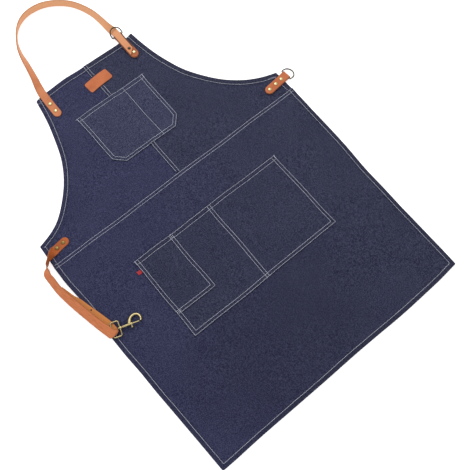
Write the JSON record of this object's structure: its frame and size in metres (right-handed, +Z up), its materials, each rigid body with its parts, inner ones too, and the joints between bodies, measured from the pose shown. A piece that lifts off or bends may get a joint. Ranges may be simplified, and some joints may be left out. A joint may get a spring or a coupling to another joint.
{
  "type": "denim work apron",
  "caption": "Denim bib apron lying face up, with lapped seams, patch pockets, leather neck and waist straps, rivets, D-rings and a swivel bolt snap.",
  "frame": {"origin": "on the floor, below the middle of the apron's box as it lies", "axes": "+Z up from the floor, +Y from the hem to the neck loop, +X to the right when the front is looked at"},
  "size_m": [0.72, 1.0828, 0.022],
  "materials": {
    "denim_blue": "dark indigo denim, matt, fine twill",
    "denim_grey": "dark grey-blue denim, matt, fine twill",
    "red_tape": "red woven tape, matt",
    "leather_tan": "tan vegetable-tanned leather, satin, fibrous pale flesh side",
    "brass": "bright pale brass",
    "antique_brass": "dark antique brass, worn brighter on its edges"
  },
  "bodies": {
    "apron": {"bib_left": "denim_blue", "skirt_panel": "denim_blue", "bib_right": "denim_grey", "chest_pocket": "denim_grey", "lower_pocket": "denim_grey", "tool_pocket": "denim_grey", "pocket_tab": "red_tape", "leather_patch": "leather_tan", "neck_strap": "leather_tan", "waist_strap": "leather_tan", "neck_tab": "leather_tan", "waist_tab": "leather_tan", "neck_strap_rivet_upper": "brass", "neck_strap_rivet_lower": "brass", "neck_tab_rivet": "brass", "waist_tab_rivet_inner": "brass", "waist_tab_rivet_middle": "brass", "waist_tab_rivet_outer": "brass", "waist_strap_rivet_inner": "brass", "waist_strap_rivet_outer": "brass", "hook_eye": "brass", "neck_strap_stud": "antique_brass"},
    "neck_ring": {"neck_ring": "antique_brass"},
    "waist_ring": {"waist_ring": "antique_brass"},
    "hook": {"hook_body": "brass"},
    "bolt": {"hook_bolt": "brass"}
  },
  "joints": [
    {"name": "neck_ring_swing", "type": "hinge", "parent": "apron", "child": "neck_ring", "pos_m": [0.10687, 0.35556, 0.00525], "axis": [1, 0, 0], "range_deg": [0, 105]},
    {"name": "waist_ring_swing", "type": "hinge", "parent": "apron", "child": "waist_ring", "pos_m": [0.33855, 0.02407, 0.00525], "axis": [0.0993, -0.9951, 0], "range_deg": [0, 150]},
    {"name": "hook_swivel", "type": "hinge", "parent": "apron", "child": "hook", "pos_m": [-0.30333, -0.20234, 0.0076], "axis": [0.9472, -0.3206, 0], "range_deg": [0, 45]},
    {"name": "bolt_slide", "type": "slide", "parent": "hook", "child": "bolt", "axis": [-0.9472, 0.3206, 0], "range_m": [0, 0.008], "stiffness_N_per_m": 200, "springref_m": -0.004}
  ]
}
